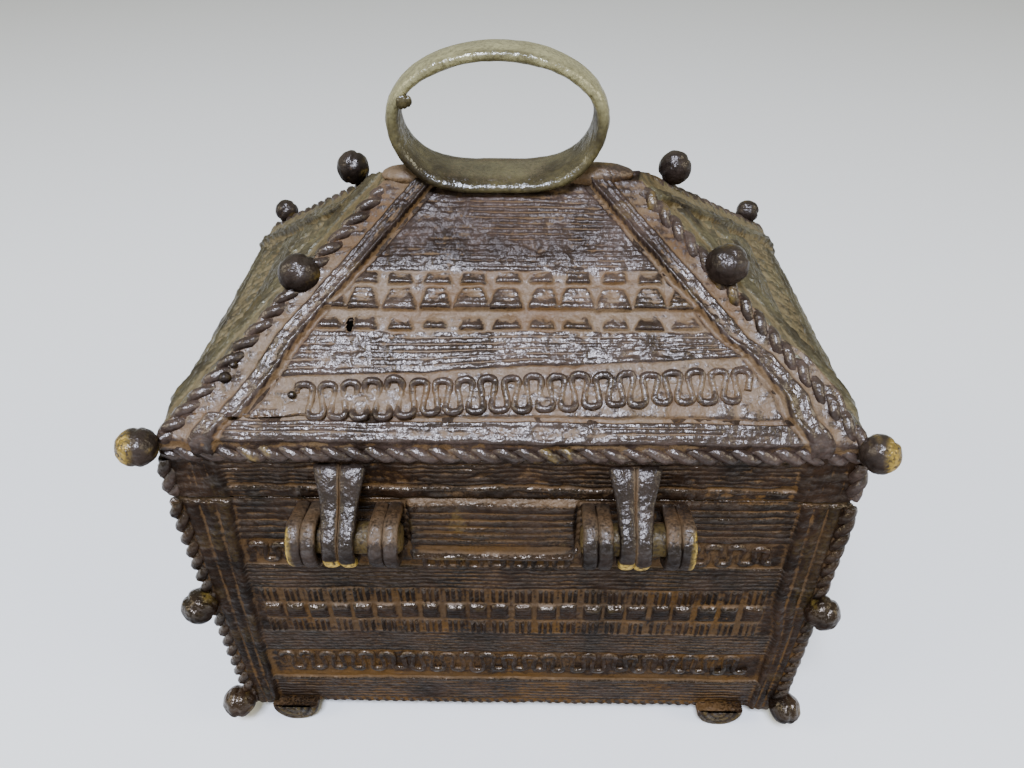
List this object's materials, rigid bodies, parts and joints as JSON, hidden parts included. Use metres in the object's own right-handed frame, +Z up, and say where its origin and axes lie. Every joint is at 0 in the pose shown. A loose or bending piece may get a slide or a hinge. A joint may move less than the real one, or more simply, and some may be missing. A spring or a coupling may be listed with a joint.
{
  "type": "reliquary casket",
  "caption": "Hollow cast brass casket on feet, with a hinged hip roof lid, an oval ring handle, rope corners, balls and wax-thread relief.",
  "frame": {"origin": "middle of the bounding box in plan, on the surface that the feet stand on", "axes": "+X to the right along the ridge, +Y away from the hinged front, +Z up"},
  "size_m": [0.1656, 0.1177, 0.1747],
  "materials": {
    "body_brass": "cast, dark brown patina with ochre earth in the hollows",
    "lid_brass": "cast, brown patina with pale clay dust in the hollows and worn, shining edges",
    "pin_brass": "rough cast pin, dull"
  },
  "bodies": {
    "box": {"casket_body": "body_brass", "hinge_pin_left": "pin_brass", "hinge_pin_right": "pin_brass"},
    "lid": {"casket_lid": "lid_brass"}
  },
  "joints": [
    {"name": "lid_hinge", "type": "hinge", "parent": "box", "child": "lid", "pos_m": [0, -0.05205, 0.0849], "axis": [1, 0, 0], "range_deg": [0, 165]}
  ]
}
